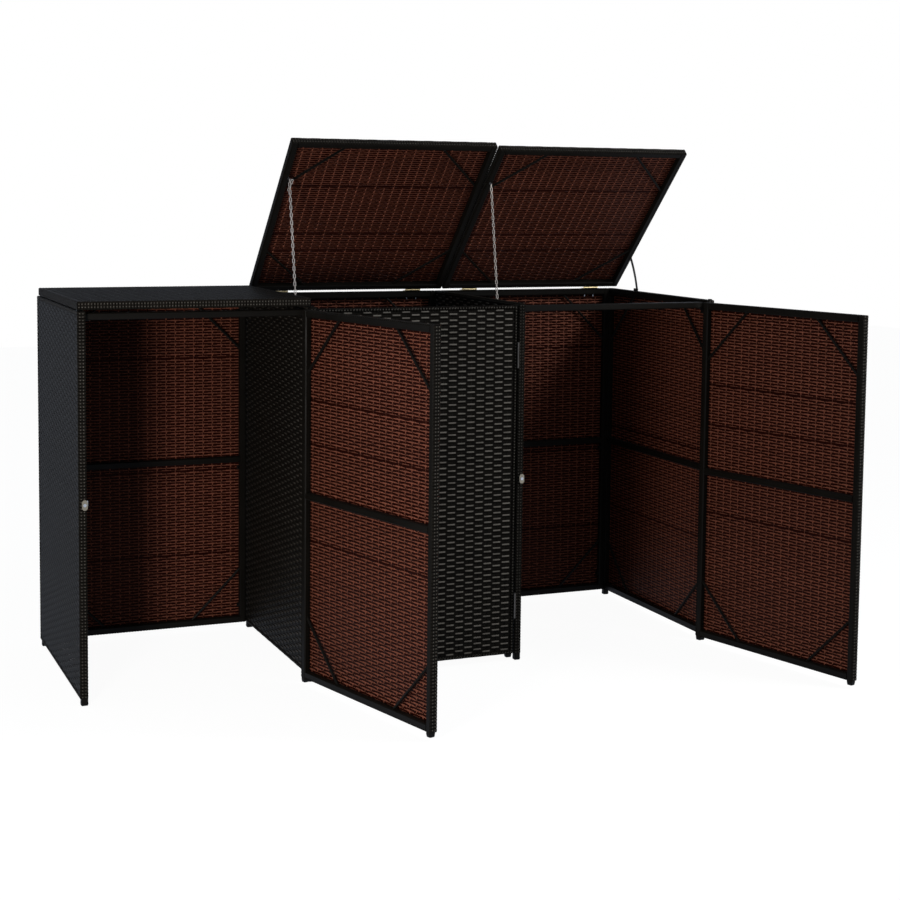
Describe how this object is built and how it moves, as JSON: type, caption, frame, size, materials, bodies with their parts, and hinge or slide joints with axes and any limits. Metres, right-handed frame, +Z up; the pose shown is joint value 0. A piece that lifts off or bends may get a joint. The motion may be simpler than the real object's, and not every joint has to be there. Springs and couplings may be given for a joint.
{
  "type": "wheelie bin store",
  "caption": "Free-standing woven garden store for three wheelie bins, with front doors and lifting lids on square tube frames.",
  "frame": {"origin": "centre of the sole of the front left foot, on the ground", "axes": "+X to the right along the front, +Y to the back, +Z up"},
  "size_m": [2.2109, 1.3406, 1.6328],
  "materials": {
    "weave": "flat woven plastic rattan, black brown and slightly glossy outside, warm brown inside",
    "frame_tube": "dark grey powder coat, satin",
    "black_plastic": "moulded black plastic",
    "black_steel": "black painted strip steel",
    "black_nut": "black plastic nut cap",
    "knob": "zinc plated turned knob",
    "zinc": "bright zinc plate, lightly dulled"
  },
  "bodies": {
    "store": {"left_side_frame": "frame_tube", "left_side_weave": "weave", "divider_1_frame": "frame_tube", "divider_1_weave": "weave", "divider_2_frame": "frame_tube", "divider_2_weave": "weave", "right_side_frame": "frame_tube", "right_side_weave": "weave", "back_1_frame": "frame_tube", "back_1_weave": "weave", "back_2_frame": "frame_tube", "back_2_weave": "weave", "back_3_frame": "frame_tube", "back_3_weave": "weave", "front_rails": "frame_tube", "rail_brackets": "black_steel", "feet": "black_plastic", "post_hinge_leaves": "zinc", "rail_hinge_leaves": "zinc", "rail_hinge_screws": "zinc", "catch_screws": "zinc", "door_stops": "zinc", "panel_nuts": "black_nut", "lid_pads": "black_plastic", "lid_2_chain": "zinc", "lid_3_chain": "zinc", "divider_chain_eyes": "zinc", "stay_side_bracket": "black_steel"},
    "door_1": {"door_1_frame": "frame_tube", "door_1_weave": "weave", "door_caps_1": "black_plastic", "door_1_hinge_leaves": "zinc", "door_1_knob": "knob"},
    "door_2": {"door_2_frame": "frame_tube", "door_2_weave": "weave", "door_caps_2": "black_plastic", "door_2_hinge_leaves": "zinc", "door_2_knob": "knob"},
    "door_3": {"door_3_frame": "frame_tube", "door_3_weave": "weave", "door_caps_3": "black_plastic", "door_3_hinge_leaves": "zinc", "door_3_knob": "knob"},
    "lid_1": {"lid_1_frame": "frame_tube", "lid_1_weave": "weave", "lid_1_hinge_leaves": "zinc"},
    "lid_2": {"lid_2_frame": "frame_tube", "lid_2_weave": "weave", "lid_2_hinge_leaves": "zinc", "lid_2_chain_eye": "zinc"},
    "lid_3": {"lid_3_frame": "frame_tube", "lid_3_weave": "weave", "lid_3_hinge_leaves": "zinc", "lid_3_chain_eye": "zinc", "stay_lid_bracket": "black_steel"},
    "catch_1_body": {"catch_1": "zinc"},
    "catch_2_body": {"catch_2": "zinc"},
    "catch_3_body": {"catch_3": "zinc"},
    "stay_arm_body": {"stay_arm": "black_steel"}
  },
  "joints": [
    {"name": "door_1_hinge", "type": "hinge", "parent": "store", "child": "door_1", "pos_m": [0.6645, -0.0153, 0.572], "axis": [0, 0, 1], "range_deg": [-104.6, 50.4]},
    {"name": "door_2_hinge", "type": "hinge", "parent": "store", "child": "door_2", "pos_m": [1.3445, -0.0153, 0.572], "axis": [0, 0, 1], "range_deg": [0, 155]},
    {"name": "door_3_hinge", "type": "hinge", "parent": "store", "child": "door_3", "pos_m": [2.0245, -0.0153, 0.572], "axis": [0, 0, 1], "range_deg": [-104.9, 50.1]},
    {"name": "lid_1_hinge", "type": "hinge", "parent": "store", "child": "lid_1", "pos_m": [0.329, 0.662, 1.1338], "axis": [-1, 0, 0], "range_deg": [0, 46]},
    {"name": "lid_2_hinge", "type": "hinge", "parent": "store", "child": "lid_2", "pos_m": [1.018, 0.662, 1.1338], "axis": [-1, 0, 0], "range_deg": [-45.8, 0], "deforming": ["lid_2_chain"]},
    {"name": "lid_3_hinge", "type": "hinge", "parent": "store", "child": "lid_3", "pos_m": [1.707, 0.662, 1.1338], "axis": [-1, 0, 0], "range_deg": [-44.6, 0], "deforming": ["lid_3_chain"]},
    {"name": "catch_1_turn", "type": "hinge", "parent": "store", "child": "catch_1_body", "pos_m": [0.003, -0.0143, 0.58], "axis": [0, -1, 0], "range_deg": [0, 90]},
    {"name": "catch_2_turn", "type": "hinge", "parent": "store", "child": "catch_2_body", "pos_m": [0.683, -0.0143, 0.58], "axis": [0, -1, 0], "range_deg": [0, 90]},
    {"name": "catch_3_turn", "type": "hinge", "parent": "store", "child": "catch_3_body", "pos_m": [1.363, -0.0143, 0.58], "axis": [0, -1, 0], "range_deg": [0, 90]},
    {"name": "stay_arm_pivot", "type": "hinge", "parent": "lid_3", "child": "stay_arm_body", "pos_m": [2.05435, 0.56696, 1.24536], "axis": [-1, 0, 0], "range_deg": [0, 13.43]}
  ],
  "couplings": [
    {"joint": "stay_arm_pivot", "follows": "lid_3_hinge", "ratio": -0.3}
  ]
}
